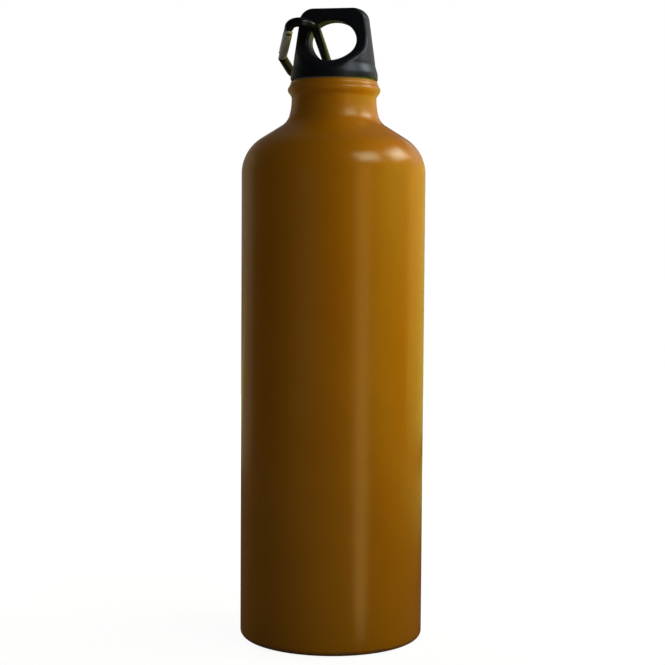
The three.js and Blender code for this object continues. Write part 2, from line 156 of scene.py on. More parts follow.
foot_r = BODY_RADIUS - FOOT_RADIUS
shoulder_r = BODY_RADIUS - SHOULDER_RADIUS
bore_r = BODY_RADIUS - WALL
neck_bore_r = NECK_RADIUS - WALL
lip_half = LIP_THICKNESS / 2
lip_under_z = LIP_TOP_Z - LIP_THICKNESS
shell_outside = np.vstack([
    bowl(RING_RADIUS, DOME_RISE, 0, count=24),
    straight((RING_RADIUS + RING_INSET, 0), (foot_r - RING_INSET, 0), count=3),
    arc(foot_r, FOOT_RADIUS, FOOT_RADIUS, -90, 0, count=12),
    straight((BODY_RADIUS, WALL_SPAN[0]), (BODY_RADIUS, WALL_SPAN[1]), count=24),
    arc(shoulder_r, BODY_HEIGHT, SHOULDER_RADIUS, 0, SHOULDER_TURN, count=30),
    arc(*FILLET_CENTRE, NECK_FILLET, 180 + SHOULDER_TURN, 180 + FLARE_TURN, count=20),
    arc(NECK_RADIUS + FLARE_RADIUS, WAIST_Z, FLARE_RADIUS, 180 + FLARE_TURN, 180, count=12)[1:],
    straight((NECK_RADIUS, WAIST_Z + WAIST_STEP), (NECK_RADIUS, BEAD_FOOT_Z), count=2),
    eased((NECK_RADIUS, BEAD_FOOT_Z), (BEAD_RADIUS, BEAD_Z), count=12)[1:],
    eased((BEAD_RADIUS, BEAD_Z), (LIP_RADIUS, BEAD_TOP_Z), count=12)[1:],
    arc(LIP_RADIUS - LIP_ROUND, LIP_TOP_Z - LIP_ROUND, LIP_ROUND, 0, 90, count=8),
])
shell_inside = np.vstack([
    arc(MOUTH_RADIUS + lip_half, LIP_TOP_Z - lip_half, lip_half, 90, 270, count=10),
    straight((neck_bore_r - LIP_FILLET, lip_under_z), (neck_bore_r, lip_under_z), count=2),
    straight((neck_bore_r, lip_under_z - LIP_FILLET), (neck_bore_r, WAIST_Z), count=8),
    arc(*FILLET_CENTRE, NECK_FILLET + WALL, 180 + FLARE_TURN, 180 + SHOULDER_TURN, count=12),
    arc(shoulder_r, BODY_HEIGHT, SHOULDER_RADIUS - WALL, SHOULDER_TURN, 0, count=20),
    straight((bore_r, WALL_SPAN[1]), (bore_r, WALL_SPAN[0]), count=16),
    arc(foot_r, BASE_THICKNESS + FOOT_RADIUS - WALL, FOOT_RADIUS - WALL, 0, -90, count=8),
    bowl(RING_RADIUS, DOME_RISE, BASE_THICKNESS, count=16)[::-1],
])
shell = skin("painted_shell", turned(np.vstack([shell_outside, shell_inside]), SHELL_COLUMNS), "capped")


class Wire:
    """One socket of a material's nodes. Arithmetic on wires and numbers adds Math nodes."""

    def __init__(self, tree, socket=None):
        self.tree = tree
        self.socket = socket

    def node(self, kind, settings, inputs, out=0):
        """Adds a node of any kind: its settings first, then a value or a wire for each of its sockets."""
        made = self.tree.nodes.new(kind)
        for name, value in settings.items():
            setattr(made, name, value)
        for name, value in inputs.items():
            if isinstance(value, Wire):
                self.tree.links.new(value.socket, made.inputs[name])
            else:
                made.inputs[name].default_value = value
        return Wire(self.tree, made.outputs[out])

    def math(self, operation, first, second=0.0):
        """A Math node on two values."""
        return self.node("ShaderNodeMath", {"operation": operation}, {0: first, 1: second})

    def __add__(self, other):
        return self.math("ADD", self, other)

    def __sub__(self, other):
        return self.math("SUBTRACT", self, other)

    def __rsub__(self, other):
        return self.math("SUBTRACT", other, self)

    def __mul__(self, other):
        return self.math("MULTIPLY", self, other)

    __radd__ = __add__
    __rmul__ = __mul__

    def over(self, low, high):
        """0 below low and 1 above high, with a smooth rise between."""
        settings = {"interpolation_type": "SMOOTHSTEP"}
        inputs = {"Value": self, "From Min": low, "From Max": high, "To Min": 0.0, "To Max": 1.0}
        return self.node("ShaderNodeMapRange", settings, inputs)

    def blend(self, first, second):
        """A colour that goes from first to second as this value goes from 0 to 1."""
        return self.node("ShaderNodeMix", {"data_type": "RGBA"}, {0: self, 6: first, 7: second}, out=2)

    def vector(self, operation, first, second, out=0):
        """A Vector Math node on two vectors."""
        return self.node("ShaderNodeVectorMath", {"operation": operation}, {0: first, 1: second}, out)

    def noise(self, place, scale, detail=2.0, rough=0.5):
        """Soft noise around 0.5, with lumps of 1 / scale of the place's unit."""
        inputs = {"Vector": place, "Scale": scale, "Detail": detail, "Roughness": rough}
        return self.node("ShaderNodeTexNoise", {}, inputs)

    def bump(self, height, strength, distance, **normal):
        """A normal tilted by a height, on top of another normal where one is given."""
        inputs = {"Height": height, "Strength": strength, "Distance": distance, **normal}
        return self.node("ShaderNodeBump", {}, inputs)


def surface_finish(name, **constants):
    """A material with one Principled BSDF: returns it, a wire that starts its expressions, and its shader."""
    made = bpy.data.materials.new(name)
    made.use_nodes = True
    shader = made.node_tree.nodes["Principled BSDF"]
    for socket, value in constants.items():
        shader.inputs[socket.replace("_", " ")].default_value = value
    return made, Wire(made.node_tree), shader


def feed(shader, **wires):
    """Joins wires to the sockets of a shader."""
    for socket, wire in wires.items():
        wire.tree.links.new(wire.socket, shader.inputs[socket.replace("_", " ")])


def object_place(start):
    """The place on the piece, in metres of the shared frame."""
    return start.node("ShaderNodeTexCoord", {}, {}, out="Object")


def axis_of(start, place, axis):
    """One coordinate of a place."""
    return start.node("ShaderNodeSeparateXYZ", {}, {"Vector": place}, out=axis)


paint, start, shader = surface_finish("satin_ochre_paint", IOR=1.7, Specular_Tint=PAINT_SHEEN)
place = object_place(start)
mottle = start.noise(place, scale=28, detail=4.0, rough=0.6)
cloud = start.noise(place, scale=9)
grain = start.noise(place, scale=1400)
peel = start.noise(place, scale=260)
z = axis_of(start, place, "Z")
rub = (1 - z.over(*RUBBED_EDGE)) * start.noise(place, scale=420, detail=3.0, rough=0.7).over(0.5, 0.62)
tint = (mottle * 0.7 + cloud * 0.5).over(0.38, 0.8)
orange_peel = start.bump(peel, strength=0.1, distance=0.0003)
feed(
    shader,
    Base_Color=rub.blend(tint.blend(OCHRE_DEEP, OCHRE), RUBBED_METAL),
    Roughness=mottle * 0.06 + grain * 0.03 + z.over(*MATT_NECK) * 0.08 + 0.17,
    Metallic=rub * 0.6,
    Normal=start.bump(grain, strength=0.12, distance=0.00012, Normal=orange_peel),
)

lacquer, start, shader = surface_finish("clear_gold_lacquer", Metallic=0.8)
drawn_place = start.vector("MULTIPLY", object_place(start), (1, 1, 0.06))
streaks = start.noise(drawn_place, scale=160, detail=3.0)
feed(
    shader,
    Base_Color=streaks.blend(LACQUER_DEEP, LACQUER),
    Roughness=streaks * 0.2 + 0.28,
    Normal=start.bump(streaks, strength=0.05, distance=0.0002),
)

# The rows of faces go up the outside and down the inside. Two fans come last, for the middle of the base:
# its outside first and then its inside.
shell.data.materials.append(paint)
shell.data.materials.append(lacquer)
lacquered = np.arange(len(shell.data.polygons)) >= SHELL_COLUMNS * len(shell_outside)
lacquered[-2 * SHELL_COLUMNS:-SHELL_COLUMNS] = False
shell.data.polygons.foreach_set("material_index", lacquered.astype(np.int32))
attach(shell, "bottle")
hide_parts("bottle_shell")

# Threaded ring. A black plastic sleeve, pressed into the neck under the lip because the neck's own wall is
# too thin for a thread. Its bore carries the female thread: one right-hand start, four millimetres a turn.

INSERT_RADIUS = 17.25
INSERT_LOW = 227.62
INSERT_HIGH = 241.62
INSERT_EDGE = 0.4
INSERT_FACE_INSET = 0.3
BORE_ROOT = 15.2
BORE_CREST = 14.05
BORE_STEP = 0.1
BORE_ROWS = 70
BORE_RUN_OUT = 1.5
PITCH = 4.0
RING_COLUMNS = 144
SLEEVE_BLACK = (0.01, 0.01, 0.011, 1)
SLEEVE_SPECK = (0.02, 0.02, 0.021, 1)


def tooth(angle, z, middle, foot, crest):
    """Height of a right-hand thread, 0 to 1: a trapezium across each turn, at the given share of a turn."""
    phase = np.mod(z / PITCH - angle / (2 * np.pi) - middle + 0.5, 1) - 0.5
    return np.clip((foot - np.abs(phase)) / (foot - crest), 0, 1)


def faded(z, low, high, length):
    """1 between two heights, falling evenly to 0 over a length at each of them, as a thread runs out."""
    return np.clip((z - low) / length, 0, 1) * np.clip((high - z) / length, 0, 1)


insert_edge_r = INSERT_RADIUS - INSERT_EDGE
insert_profile = np.vstack([
    straight((BORE_ROOT, INSERT_LOW), (insert_edge_r, INSERT_LOW), count=4),
    arc(insert_edge_r, INSERT_LOW + INSERT_EDGE, INSERT_EDGE, -90, 0, count=5)[1:],
    arc(insert_edge_r, INSERT_HIGH - INSERT_EDGE, INSERT_EDGE, 0, 90, count=5),
    straight((insert_edge_r - INSERT_FACE_INSET, INSERT_HIGH), (BORE_ROOT, INSERT_HIGH), count=4),
    straight((BORE_ROOT, INSERT_HIGH - BORE_STEP), (BORE_ROOT, INSERT_LOW + BORE_STEP), BORE_ROWS),
])
insert_grid = turned(insert_profile, RING_COLUMNS)
insert_angle = np.arctan2(insert_grid[..., 1], insert_grid[..., 0])
insert_z = insert_grid[..., 2]
on_bore = np.arange(len(insert_profile))[:, None] >= len(insert_profile) - BORE_ROWS
ridge = (BORE_ROOT - BORE_CREST) * tooth(insert_angle, insert_z, middle=0.0, foot=0.22, crest=0.1)
ridge = ridge * faded(insert_z, INSERT_LOW, INSERT_HIGH, BORE_RUN_OUT) * on_bore
insert_grid[..., 0] -= ridge * np.cos(insert_angle)
insert_grid[..., 1] -= ridge * np.sin(insert_angle)
insert = skin("threaded_ring", insert_grid, "joined")

sleeve, start, shader = surface_finish("black_sleeve_plastic")
speck = start.noise(object_place(start), scale=1200)
feed(
    shader,
    Base_Color=speck.blend(SLEEVE_BLACK, SLEEVE_SPECK),
    Roughness=speck * 0.2 + 0.35,
    Normal=start.bump(speck, strength=0.08, distance=0.0001),
)
insert.data.materials.append(sleeve)
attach(insert, "bottle")
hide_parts("neck_thread_insert")

# Cap. One black polypropylene moulding: a tapering drum, scooped away at front and back to leave a thick loop
# with an eye, and a hollow plug below it with the male thread. Its edges are rounded, as moulded edges are.

CAP_Z = 243.37
CAP_TOP_Z = 273.97
CAP_RIM_RADIUS = 18.95
CAP_RIM_HEIGHT = 1.7
CAP_FLARE_RADIUS = 17.75
CAP_FLARE_HEIGHT = 7.4
CAP_TOP_RADIUS = 10.8
CAP_CORNER = 4.3
CAP_LEAN = 1
CAP_EDGE = 0.9
RIM_EDGE = 0.35
LOOP_HALF = 5.5
SCOOP_RADIUS = 10
SCOOP_AXIS_Z = CAP_Z + 20
SCOOP_SLOPE = np.radians(40)
EYE_Z = CAP_Z + 16.4
EYE_HALF = (10.6, 9.0)
EYE_EDGE = 1.2
EYE_CORE = 0.4
EYE_DEPTH = 4
PLUG_ROOT = 13.6
PLUG_CREST = 14.9
PLUG_LOW = CAP_Z - 14
PLUG_BORE = 11.2
PLUG_BORE_TOP = 246.77
PLUG_EDGE = 0.3
PLUG_RUN_OUT = 2
PLUG_THREAD_TOP = CAP_Z - 1
FLANK_STEEPNESS = 0.85
GROOVE_TOP = CAP_Z + 1.3
GROOVE_RADIUS = 17.95
GROOVE_EDGE = 0.2
PLUG_OVERLAP = 1
CAP_STEP = 0.4
SURFACE_ROUNDS = 6
SURFACE_PULLS = 2
CAP_MARGIN = 1
CAP_BLACK = (0.0045, 0.0047, 0.0075, 1)
CAP_SCUFF = (0.014, 0.0145, 0.018, 1)
CAP_SHEEN = (0.78, 0.88, 1, 1)


def both(first, second, edge):
    """Distance to what lies in two shapes at once, with the edge where they meet rounded to this radius."""
    corner = np.hypot(np.maximum(first + edge, 0), np.maximum(second + edge, 0))
    return np.minimum(np.maximum(first, second), -edge) + corner


def cap_distance(p):
    """Distance outside the cap. The drum is a taper under a flat top. A scoop is an upright wall, a round
    corner and a falling floor, the same on both sides of y = 0. The eye is an upright ellipse run along y.
    The plug is a threaded cylinder, and its hollow is a plain one."""
    x, y, z = p[..., 0], p[..., 1], p[..., 2]
    r = np.hypot(x, y)
    flare_foot = (CAP_RIM_RADIUS, CAP_Z + CAP_RIM_HEIGHT)
    flare_top = (CAP_FLARE_RADIUS, CAP_Z + CAP_FLARE_HEIGHT)
    flare = eased(flare_foot, flare_top, count=20)
    top_r = CAP_TOP_RADIUS + CAP_CORNER
    taper = [(top_r, CAP_TOP_Z - CAP_CORNER), (top_r - CAP_LEAN, CAP_TOP_Z)]
    outline = np.vstack([[(CAP_RIM_RADIUS, CAP_Z)], flare, taper])
    side = r - np.interp(z, outline[:, 1], outline[:, 0])
    drum = both(both(side, z - CAP_TOP_Z, CAP_CORNER), CAP_Z - z, RIM_EDGE)
    across = np.abs(y) - LOOP_HALF - SCOOP_RADIUS
    up = z - SCOOP_AXIS_Z
    fall = np.array([-np.sin(SCOOP_SLOPE), -np.cos(SCOOP_SLOPE)])
    beyond = fall[0] * up - fall[1] * across > 0
    corner = np.where(beyond, across * fall[0] + up * fall[1], np.hypot(across, up))
    scoop = np.where(up > 0, -across, corner) - SCOOP_RADIUS
    drum = both(drum, -scoop, CAP_EDGE)
    share = np.hypot(x / EYE_HALF[0], (z - EYE_Z) / EYE_HALF[1])
    steep = np.hypot(x / EYE_HALF[0] ** 2, (z - EYE_Z) / EYE_HALF[1] ** 2)
    eye = np.where(share < EYE_CORE, -EYE_DEPTH, share * (share - 1) / np.maximum(steep, 0.02))
    drum = both(drum, -eye, EYE_EDGE)
    drum = both(drum, -np.maximum(r - GROOVE_RADIUS, z - GROOVE_TOP), GROOVE_EDGE)
    ridge = (PLUG_CREST - PLUG_ROOT) * tooth(np.arctan2(y, x), z, middle=0.5, foot=0.24, crest=0.12)
    ridge = ridge * faded(z, PLUG_LOW, PLUG_THREAD_TOP, PLUG_RUN_OUT)
    plug_ends = np.maximum(PLUG_LOW - z, z - GROOVE_TOP - PLUG_OVERLAP)
    plug = both((r - PLUG_ROOT - ridge) * FLANK_STEEPNESS, plug_ends, PLUG_EDGE)
    hollow = np.maximum(r - PLUG_BORE, z - PLUG_BORE_TOP)
    return both(np.minimum(drum, plug), -hollow, PLUG_EDGE)


def level_surface(distance, low, high, step):
    """The surface where a distance function is nought, worked out on a lattice of even steps. Each cell that
    the surface crosses gets one point, and each lattice edge that it crosses gets a quad between the four
    cells round it. Then the points are evened out and pulled onto the surface along the distance's slope."""
    axes = [np.arange(a, b + step, step) for a, b in zip(low, high)]
    lattice = np.stack(np.meshgrid(*axes, indexing="ij"), axis=-1)
    solid = distance(lattice) < 0
    halves = (slice(None, -1), slice(1, None))
    filled = np.sum([solid[i, j, k] for i in halves for j in halves for k in halves], axis=0)
    crossed = (filled > 0) & (filled < 8)
    index = np.full(crossed.shape, -1)
    index[crossed] = np.arange(crossed.sum())
    points = lattice[:-1, :-1, :-1][crossed] + step / 2
    quads = []
    for axis in range(3):
        order = (axis, (axis + 1) % 3, (axis + 2) % 3)
        side = np.transpose(solid, order)
        cells = np.transpose(index, order)
        i, j, k = np.nonzero(side[:-1, 1:-1, 1:-1] != side[1:, 1:-1, 1:-1])
        around = [cells[i, j, k], cells[i, j + 1, k], cells[i, j + 1, k + 1], cells[i, j, k + 1]]
        around = np.stack(around, axis=-1)
        outward = side[i, j + 1, k + 1]
        quads.append(np.where(outward[:, None], around, around[:, ::-1]))
    quads = np.vstack(quads)
    owners = quads.ravel()
    shared = np.bincount(owners, minlength=len(points))[:, None]
    nudge = step * 0.05
    for _ in range(SURFACE_ROUNDS):
        middle = np.repeat(points[quads].mean(axis=1), 4, axis=0)
        total = np.stack([np.bincount(owners, column, len(points)) for column in middle.T], axis=-1)
        points = total / shared
        for _ in range(SURFACE_PULLS):
            rises = [distance(points + n) - distance(points - n) for n in np.eye(3) * nudge]
            slope = np.stack(rises, axis=-1) / (2 * nudge)
            steepness = np.maximum((slope ** 2).sum(-1), 0.05)
            points = points - (distance(points) / steepness)[:, None] * slope
    return points, quads.tolist()


cap_reach = CAP_RIM_RADIUS + CAP_MARGIN
cap_low = (-cap_reach, -cap_reach, PLUG_LOW - CAP_MARGIN)
cap_high = (cap_reach, cap_reach, CAP_TOP_Z + CAP_MARGIN)
cap = piece("loop_cap", *level_surface(cap_distance, cap_low, cap_high, CAP_STEP))

moulded, start, shader = surface_finish("black_moulded_plastic", IOR=1.68, Specular_Tint=CAP_SHEEN)
place = object_place(start)
spark = start.noise(place, scale=2400)
sweep = start.noise(place, scale=90, detail=3.0, rough=0.6)
upright_place = start.vector("MULTIPLY", place, (1, 1, 0.3))
scuff = start.noise(upright_place, scale=520, detail=4.0, rough=0.7).over(0.62, 0.78)
waviness = start.bump(sweep, strength=0.06, distance=0.0004)
feed(
    shader,
    Base_Color=scuff.blend(CAP_BLACK, CAP_SCUFF),
    Roughness=sweep * 0.16 + scuff * 0.12 + 0.3,
    Normal=start.bump(spark, strength=0.1, distance=0.00008, Normal=waviness),
)
cap.data.materials.append(moulded)
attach(cap, "cap")
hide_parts("cap_body")

# Seal. A flat ring of pale grey silicone, moulded with rounded edges. It is stretched over the plug and
# seated in the groove under the cap, where the bottle's lip presses on it.

SEAL_INNER = 14.3
SEAL_OUTER = 17.7
SEAL_LOW = 243.1
SEAL_HIGH = 244.42
SEAL_EDGE = 0.35
SEAL_DULL = (0.44, 0.46, 0.47, 1)
SEAL_PALE = (0.56, 0.58, 0.58, 1)

seal_profile = np.vstack([
    arc(SEAL_OUTER - SEAL_EDGE, SEAL_LOW + SEAL_EDGE, SEAL_EDGE, -90, 0, count=6),
    arc(SEAL_OUTER - SEAL_EDGE, SEAL_HIGH - SEAL_EDGE, SEAL_EDGE, 0, 90, count=6),
    arc(SEAL_INNER + SEAL_EDGE, SEAL_HIGH - SEAL_EDGE, SEAL_EDGE, 90, 180, count=6),
    arc(SEAL_INNER + SEAL_EDGE, SEAL_LOW + SEAL_EDGE, SEAL_EDGE, 180, 270, count=6),
])
seal = skin("silicone_seal", turned(seal_profile, RING_COLUMNS), "joined")

silicone, start, shader = surface_finish("pale_silicone")
dust = start.noise(object_place(start), scale=700, detail=3.0, rough=0.6)
feed(
    shader,
    Base_Color=dust.blend(SEAL_DULL, SEAL_PALE),
    Roughness=dust * 0.2 + 0.42,
    Normal=start.bump(dust, strength=0.06, distance=0.0001),
)
seal.data.materials.append(silicone)
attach(seal, "seal")
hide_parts("cap_seal")

# Carabiner frame. A bent aluminium rod, black anodised, with a flat tenon milled at each end: one takes the
# gate's rivet, and the other ends in a hook for the gate's cross pin. It is clipped round the cap's loop.

SPINE_OFFSET = 6.7
SPINE_Z = EYE_Z + 1.9
TILT = np.radians(-24.2)
ROLL = np.radians(-5.7)
ROD_RADIUS = 2.0
NARROW_RADIUS = 5.6
NARROW_CENTRE = 9.9
GATE_BEND_RADIUS = 4.2
GATE_BEND_TURN = 300
WIDE_REACH = 28.9
WIDE_CORNER = 8
NOSE_CORNER = 6
NOSE_OFFSET = 16.9
TENON_HALF = 0.65
TENON_REACH = 1.6
TENON_END = 1.5
TENON_SQUARE = 0.3
FLAT_LIMIT = 1.2
SHOULDER_STEP = 1.5
HINGE_REACH = 3.5
GATE_TURN = np.radians(18.7)
GATE_LENGTH = 20.2
NOSE_GAP = 1.15
HINGE_GAP = 0.45
GATE_RADIUS = 2.05
HOOK_START = 16.45
NOTCH = (17.65, 19.55)
NOTCH_REACH = -0.95
NOTCH_EDGE = 0.1
ROD_STEP = 0.15
ROD_COLUMNS = 40
BEND_COUNT = 40
SMOOTH_REACH = 6
ROD_BLACK = (0.004, 0.004, 0.005, 1)
ROD_RUBBED = (0.04, 0.04, 0.043, 1)

gate_along = np.array([-np.sin(GATE_TURN), np.cos(GATE_TURN)])
gate_across = np.array([np.cos(GATE_TURN), np.sin(GATE_TURN)])
bend_end = -NARROW_RADIUS * gate_across - np.array([NARROW_RADIUS, NARROW_CENTRE])
hinge = bend_end + gate_along * HINGE_REACH
bend_turn = np.array([np.cos(np.radians(GATE_BEND_TURN)), np.sin(np.radians(GATE_BEND_TURN))])
gate_bend = bend_end + GATE_BEND_RADIUS * gate_across
spine_bend_radius = -(gate_bend[0] + GATE_BEND_RADIUS * bend_turn[0]) / (1 - bend_turn[0])
spine_bend = gate_bend + (GATE_BEND_RADIUS - spine_bend_radius) * bend_turn
turn_x = np.array([[1, 0, 0], [0, np.cos(TILT), -np.sin(TILT)], [0, np.sin(TILT), np.cos(TILT)]])
turn_y = np.array([[np.cos(ROLL), 0, np.sin(ROLL)], [0, 1, 0], [-np.sin(ROLL), 0, np.cos(ROLL)]])


def on_loop(flat):
    """Points of the carabiner's own plane as it hangs: rolled about Y, tilted about X, moved to the loop."""
    return flat @ (turn_x @ turn_y).T + np.array([-SPINE_OFFSET, 0, SPINE_Z])


def bend(before, corner, after, radius, count):
    """A circular arc of this radius that touches both lines through a corner."""
    back = (before - corner) / np.linalg.norm(before - corner)
    on = (after - corner) / np.linalg.norm(after - corner)
    half = np.arccos(back @ on) / 2
    middle = back + on
    centre = corner + middle / np.linalg.norm(middle) * radius / np.sin(half)
    first = corner + back * radius / np.tan(half) - centre
    last = corner + on * radius / np.tan(half) - centre
    sweep = np.arctan2(first[0] * last[1] - first[1] * last[0], first @ last)
    angle = sweep * np.linspace(0, 1, count)
    return centre + np.stack([
        first[0] * np.cos(angle) - first[1] * np.sin(angle),
        first[0] * np.sin(angle) + first[1] * np.cos(angle),
    ], axis=-1)


def spaced(path, step):
    """A path through the same places with its points an even step apart, and how far along it each one is."""
    length = np.concatenate([[0], np.cumsum(np.linalg.norm(np.diff(path, axis=0), axis=1))])
    along = np.linspace(0, length[-1], int(length[-1] / step) + 1)
    return np.stack([np.interp(along, length, column) for column in path.T], axis=-1), along


def smoothed(path, reach):
    """A path whose points are bell-weighted means of their neighbours, so that its bends run out gently."""
    weights = np.hanning(2 * reach + 1)
    weights = weights / weights.sum()
    padded = [np.pad(column, reach, "reflect", reflect_type="odd") for column in path.T]
    return np.stack([np.convolve(column, weights, "valid") for column in padded], axis=-1)


def carried(path, across, normal, wide, high):
    """A section carried along a path: the path's point, plus wide times across, plus high times normal."""
    return path[:, None] + wide[..., None] * across[:, None] + high[..., None] * normal[:, None]


def tenon(length):
    """Stations of a milled end from its tip: distance, reach to the right and to the left, half thickness."""
    return [
        (0, 0.2, 0.2, 0.1),
        (0.05, TENON_REACH - 0.2, TENON_REACH - 0.2, TENON_HALF - 0.15),
        (0.25, TENON_REACH, TENON_REACH, TENON_HALF),
        (length, TENON_REACH, TENON_REACH, TENON_HALF),
        (length + 0.05, SHOULDER_STEP, SHOULDER_STEP, SHOULDER_STEP),
        (length + 0.5, ROD_RADIUS, ROD_RADIUS, ROD_RADIUS),
    ]


def section_at(distance, stations):
    """Reach to the right and the left and half thickness at distances from a tip, even between stations."""
    stations = np.array(sorted(stations))
    return [np.interp(distance, stations[:, 0], column) for column in stations.T[1:]]


nose_end = hinge + gate_along * (GATE_LENGTH + NOSE_GAP)
nose_corner = np.array([-NOSE_OFFSET, WIDE_REACH])
wide_corner = np.array([0.0, WIDE_REACH])
spine_foot = np.array([0.0, spine_bend[1]])
rod_path = np.vstack([
    straight(hinge + gate_along * TENON_END, bend_end, count=8),
    arc(*gate_bend, GATE_BEND_RADIUS, 180 + np.degrees(GATE_TURN), GATE_BEND_TURN, BEND_COUNT)[1:],
    arc(*spine_bend, spine_bend_radius, GATE_BEND_TURN, 360, BEND_COUNT)[1:],
    bend(spine_foot, wide_corner, nose_corner, WIDE_CORNER, BEND_COUNT),
    bend(wide_corner, nose_corner, nose_end, NOSE_CORNER, BEND_COUNT),
    straight(nose_end, hinge + gate_along * HOOK_START, count=20),
])
rod_path, rod_along = spaced(rod_path, ROD_STEP)
rod_path = smoothed(rod_path, SMOOTH_REACH)
rod_heading = np.gradient(rod_path, axis=0)
rod_heading /= np.linalg.norm(rod_heading, axis=1)[:, None]

notch_low = NOTCH[0] - HOOK_START
notch_high = NOTCH[1] - HOOK_START
notch = [
    (notch_low, TENON_REACH, TENON_REACH, TENON_HALF),
    (notch_low + NOTCH_EDGE, NOTCH_REACH, TENON_REACH, TENON_HALF),
    (notch_high, NOTCH_REACH, TENON_REACH, TENON_HALF),
    (notch_high + NOTCH_EDGE, TENON_REACH, TENON_REACH, TENON_HALF),
]
hinge_end = section_at(rod_along, tenon(TENON_END + GATE_RADIUS + HINGE_GAP))
hook_end = section_at(rod_along[-1] - rod_along, tenon(GATE_LENGTH + NOSE_GAP - HOOK_START) + notch)
right, left, high = np.where(rod_along < rod_along[-1] / 2, hinge_end, hook_end)
square = np.where(high < FLAT_LIMIT, TENON_SQUARE, 1.0)[:, None]
angle = np.linspace(0, 2 * np.pi, ROD_COLUMNS, endpoint=False)
wave = np.sign(np.cos(angle)) * np.abs(np.cos(angle)) ** square
lift = np.sign(np.sin(angle)) * np.abs(np.sin(angle)) ** square
rod_wide = ((right - left) / 2)[:, None] + ((right + left) / 2)[:, None] * wave
rod_high = high[:, None] * lift
flat = np.zeros(len(rod_path))
rod_across = np.stack([-rod_heading[:, 1], rod_heading[:, 0], flat], axis=-1)
rod_normal = np.stack([flat, flat, flat + 1], axis=-1)
rod_grid = carried(np.column_stack([rod_path, flat]), rod_across, rod_normal, rod_wide, rod_high)
rod = skin("carabiner_rod", on_loop(rod_grid), "capped")

anodised, start, shader = surface_finish("black_anodised_rod", IOR=1.5)
place = object_place(start)
drawn = start.noise(start.vector("MULTIPLY", place, (1, 0.15, 0.4)), scale=1500, detail=3.0, rough=0.6)
patch = start.noise(place, scale=140, detail=3.0, rough=0.6)
rubbed = start.noise(place, scale=700, detail=4.0, rough=0.75).over(0.6, 0.74) * patch.over(0.48, 0.62)
feed(
    shader,
    Base_Color=rubbed.blend(ROD_BLACK, ROD_RUBBED),
    Metallic=rubbed * 0.7,
    Roughness=drawn * 0.1 + patch * 0.1 + 0.12,
    Normal=start.bump(drawn, strength=0.06, distance=0.00008),
)
rod.data.materials.append(anodised)
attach(rod, "carabiner")
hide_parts("carabiner_frame")

# Gate. A bare aluminium rod, slotted at both ends to straddle the tenons, with a rounded hinge end
# and a bore from the hinge slot that holds its spring and plunger. It is drawn and brushed lengthwise.

SLOT_HALF = 0.9
HINGE_SLOT = 2.7
LATCH_SLOT = 15.9
GATE_BORE = 1.1
GATE_BORE_END = 12.45
LATCH_PIN_AT = 18.6
RIVET_HOLE = 0.9
PIN_HOLE = 0.75
GATE_EDGE = 0.22
CUT_EDGE = 0.12
GATE_STEP = 0.14
GATE_MARGIN = 0.4
GATE_DULL = (0.48, 0.5, 0.47, 1)
GATE_BRIGHT = (0.74, 0.76, 0.72, 1)


def gate_distance(p):
    """Distance outside the gate, in its own frame: along y from the hinge, slots across x, holes along z.
    It is a round bar with a rounded hinge end, less the two slots, the bore and the two cross holes."""
    x, y, z = p[..., 0], p[..., 1], p[..., 2]
    r = np.hypot(x, z)
    knuckle = np.where(y < 0, np.hypot(x, y), np.abs(x)) - GATE_RADIUS
    bar = both(both(r - GATE_RADIUS, knuckle, GATE_EDGE), y - GATE_LENGTH, GATE_EDGE)
    hinge_slot = np.maximum(np.abs(z) - SLOT_HALF, y - HINGE_SLOT)
    latch_slot = np.maximum(np.abs(z) - SLOT_HALF, LATCH_SLOT - y)
    bore = np.maximum(r - GATE_BORE, np.abs(y - GATE_BORE_END / 2) - GATE_BORE_END / 2)
    rivet_hole = np.hypot(x, y) - RIVET_HOLE
    pin_hole = np.hypot(x, y - LATCH_PIN_AT) - PIN_HOLE
    for cut in (hinge_slot, latch_slot, bore, rivet_hole, pin_hole):
        bar = both(bar, -cut, CUT_EDGE)
    return bar


def on_gate(own):
    """Points of the gate's own frame on the carabiner: turned about its normal and moved to the hinge."""
    plane = hinge + own[..., 0:1] * gate_across + own[..., 1:2] * gate_along
    return on_loop(np.concatenate([plane, own[..., 2:3]], axis=-1))


gate_reach = GATE_RADIUS + GATE_MARGIN
gate_low = (-gate_reach, -gate_reach, -gate_reach)
gate_high = (gate_reach, GATE_LENGTH + GATE_MARGIN, gate_reach)
gate_own, gate_faces = level_surface(gate_distance, gate_low, gate_high, GATE_STEP)
gate = piece("gate_bar", on_gate(gate_own), gate_faces)
own_place = gate.data.attributes.new("own_place", "FLOAT_VECTOR", "POINT")
own_place.data.foreach_set("vector", (gate_own * MM).ravel())

brushed, start, shader = surface_finish("brushed_aluminium", Metallic=0.15)
own = start.node("ShaderNodeAttribute", {"attribute_name": "own_place"}, {}, out="Vector")
lines = start.noise(start.vector("MULTIPLY", own, (1, 0.04, 1)), scale=2600, detail=3.0, rough=0.6)
stain = start.noise(own, scale=300, detail=3.0, rough=0.6)
feed(
    shader,
    Base_Color=(stain * 0.5 + lines * 0.5).blend(GATE_DULL, GATE_BRIGHT),
    Roughness=lines * 0.2 + stain * 0.1 + 0.28,
    Normal=start.bump(lines, strength=0.12, distance=0.00006),
)
gate.data.materials.append(brushed)
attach(gate, "gate")
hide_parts("carabiner_gate")

# Hinge rivet. A small turned pin of aged brass through the gate's cheeks and the frame's tenon.
# It is headed over at both ends, so that its domed heads are set into the gate's round sides.

RIVET_RADIUS = 0.7
RIVET_HALF = 2.2
HEAD_RADIUS = 1.15
HEAD_ROUND = 1.2
HEAD_LOW = 1.75
HEAD_UNDER = 1.7
PIN_COLUMNS = 40
BRASS_DARK = (0.16, 0.085, 0.04, 1)
BRASS_BRIGHT = (0.42, 0.26, 0.13, 1)


